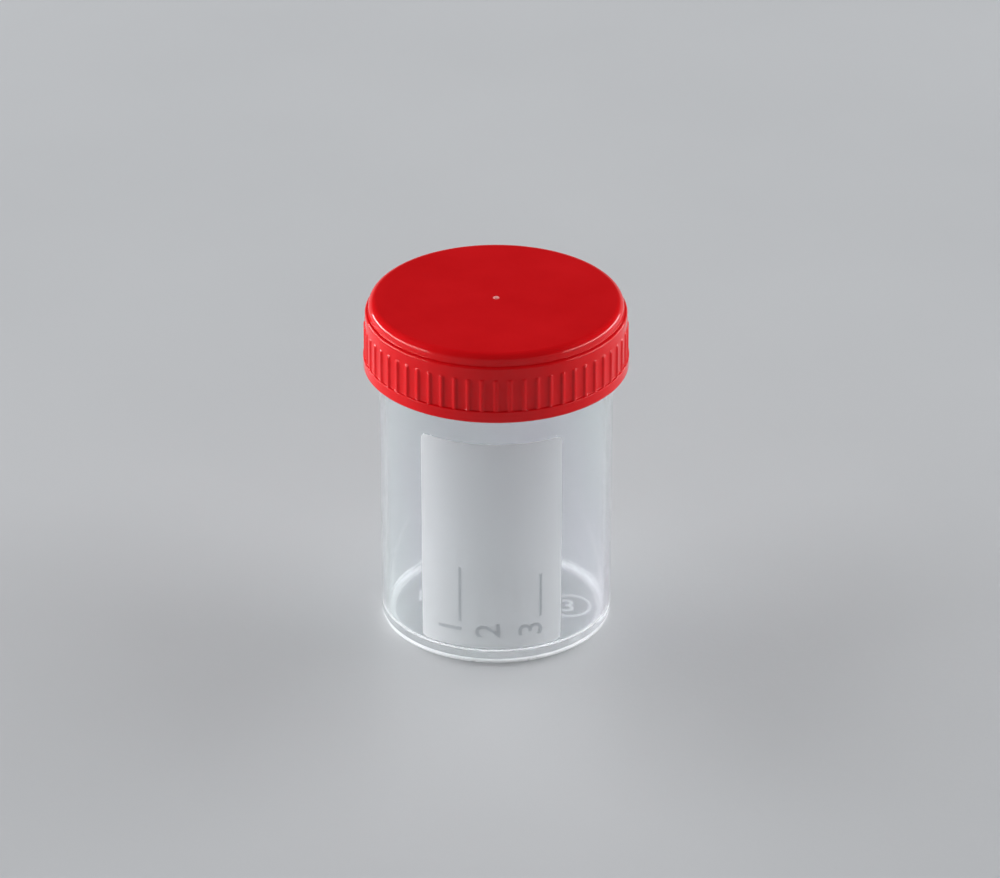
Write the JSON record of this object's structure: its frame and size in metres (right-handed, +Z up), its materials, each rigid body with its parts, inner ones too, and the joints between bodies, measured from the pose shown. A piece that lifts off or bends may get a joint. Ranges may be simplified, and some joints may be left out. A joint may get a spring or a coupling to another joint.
{
  "type": "specimen container",
  "caption": "Clear cylindrical plastic specimen pot with a frosted writing panel and a ribbed red screw cap that lifts off its threaded neck.",
  "frame": {"origin": "centre of the foot, on the surface that the pot stands on", "axes": "+Z up along the pot's axis through the cap, -Y out of the middle of the front, where the frosted panel is, and +X to the right seen from the front"},
  "size_m": [0.045, 0.045, 0.0602],
  "materials": {
    "clear_plastic": "clear, slightly hazy polypropylene with a frosted panel",
    "red_plastic": "glossy opaque red polyethylene"
  },
  "bodies": {
    "container": {"container": "clear_plastic"},
    "screw_cap": {"screw_cap": "red_plastic"}
  },
  "joints": [
    {"name": "cap_lift", "type": "slide", "parent": "container", "child": "screw_cap", "axis": [0, 0, 1], "range_m": [0, 0.03]}
  ]
}
